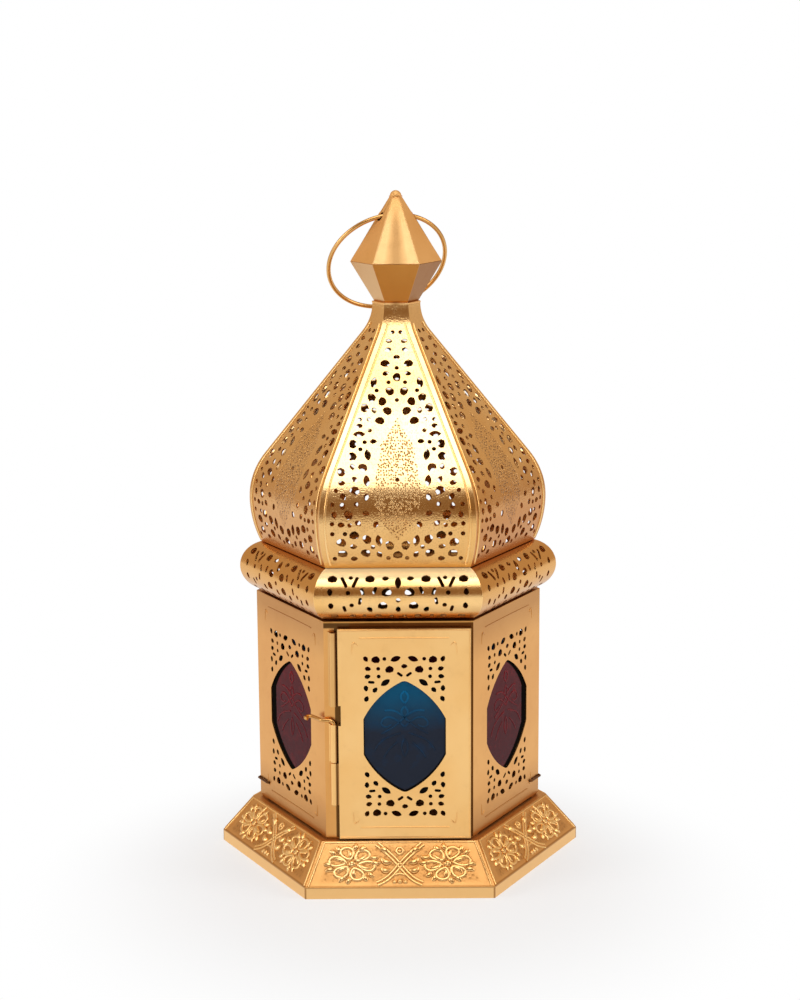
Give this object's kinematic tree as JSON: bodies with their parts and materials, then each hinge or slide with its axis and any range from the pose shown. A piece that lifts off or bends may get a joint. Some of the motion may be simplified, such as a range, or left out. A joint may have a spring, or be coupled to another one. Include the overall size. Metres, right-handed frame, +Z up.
{
  "type": "ramadan fanous lantern",
  "caption": "Hexagonal sheet-metal candle lantern with a pierced onion dome, coloured glass windows, a hinged front door, a flared base and a carry ring through its finial.",
  "frame": {"origin": "on the lantern's axis, at the level that the base stands on", "axes": "+Z up along the axis, the door faces -Y, and two corners of the hexagon lie on X"},
  "size_m": [0.1534, 0.1328, 0.2798],
  "materials": {
    "pierced_gold_sheet": "satin gold lacquer on pierced and stamped sheet, darker in the recesses",
    "plain_gold_sheet": "smooth satin gold lacquer",
    "gold_wire": "gold-plated wire",
    "inner_tinplate": "dull gold on the inside",
    "blue_glass": "dark blue-green pressed glass with a raised scroll",
    "red_glass": "dark wine-red pressed glass with a raised scroll"
  },
  "bodies": {
    "housing": {"base_panel_back": "pierced_gold_sheet", "base_panel_back_left": "pierced_gold_sheet", "base_panel_back_right": "pierced_gold_sheet", "base_panel_front": "pierced_gold_sheet", "base_panel_front_left": "pierced_gold_sheet", "base_panel_front_right": "pierced_gold_sheet", "candle_cup": "inner_tinplate", "candle_cup_rivet": "inner_tinplate", "corner_post_back_left": "pierced_gold_sheet", "corner_post_back_right": "pierced_gold_sheet", "corner_post_front_left": "pierced_gold_sheet", "corner_post_front_right": "pierced_gold_sheet", "corner_post_left": "pierced_gold_sheet", "corner_post_right": "pierced_gold_sheet", "corner_ties": "gold_wire", "crown_plate": "pierced_gold_sheet", "dome_gore_back": "pierced_gold_sheet", "dome_gore_back_left": "pierced_gold_sheet", "dome_gore_back_right": "pierced_gold_sheet", "dome_gore_front": "pierced_gold_sheet", "dome_gore_front_left": "pierced_gold_sheet", "dome_gore_front_right": "pierced_gold_sheet", "door_head": "pierced_gold_sheet", "door_jamb_left": "pierced_gold_sheet", "door_jamb_right": "pierced_gold_sheet", "door_sill": "pierced_gold_sheet", "eave_strip_back": "pierced_gold_sheet", "eave_strip_back_left": "pierced_gold_sheet", "eave_strip_back_right": "pierced_gold_sheet", "eave_strip_front": "pierced_gold_sheet", "eave_strip_front_left": "pierced_gold_sheet", "eave_strip_front_right": "pierced_gold_sheet", "finial_cap": "plain_gold_sheet", "finial_cup": "plain_gold_sheet", "floor_plate": "inner_tinplate", "glass_clips_back": "inner_tinplate", "glass_clips_back_left": "inner_tinplate", "glass_clips_back_right": "inner_tinplate", "glass_clips_front_left": "inner_tinplate", "glass_clips_front_right": "inner_tinplate", "glass_pane_back": "red_glass", "glass_pane_back_left": "blue_glass", "glass_pane_back_right": "blue_glass", "glass_pane_front_left": "red_glass", "glass_pane_front_right": "red_glass", "jamb_rolls": "pierced_gold_sheet", "neck_plate": "plain_gold_sheet", "side_panel_back": "pierced_gold_sheet", "side_panel_back_left": "pierced_gold_sheet", "side_panel_back_right": "pierced_gold_sheet", "side_panel_front_left": "pierced_gold_sheet", "side_panel_front_right": "pierced_gold_sheet"},
    "door": {"door_panel": "pierced_gold_sheet", "door_knuckle": "pierced_gold_sheet", "door_catch": "inner_tinplate", "glass_pane_front": "blue_glass", "glass_clips_front": "inner_tinplate"},
    "hinge_pin": {"hinge_pin": "gold_wire"},
    "carry_ring": {"carry_ring": "gold_wire"}
  },
  "joints": [
    {"name": "door_hinge", "type": "hinge", "parent": "housing", "child": "door", "pos_m": [-0.0263, -0.0537, 0.0445], "axis": [0, 0, -1], "range_deg": [0, 120]},
    {"name": "hinge_pin_swivel", "type": "hinge", "parent": "housing", "child": "hinge_pin", "pos_m": [-0.0263, -0.0537, 0.0617], "axis": [0, 0, 1], "range_deg": [0, 25]},
    {"name": "carry_ring_swing", "type": "hinge", "parent": "housing", "child": "carry_ring", "pos_m": [0, 0, 0.26917], "axis": [0.9613, 0.2756, 0], "range_deg": [-17, 307]}
  ]
}
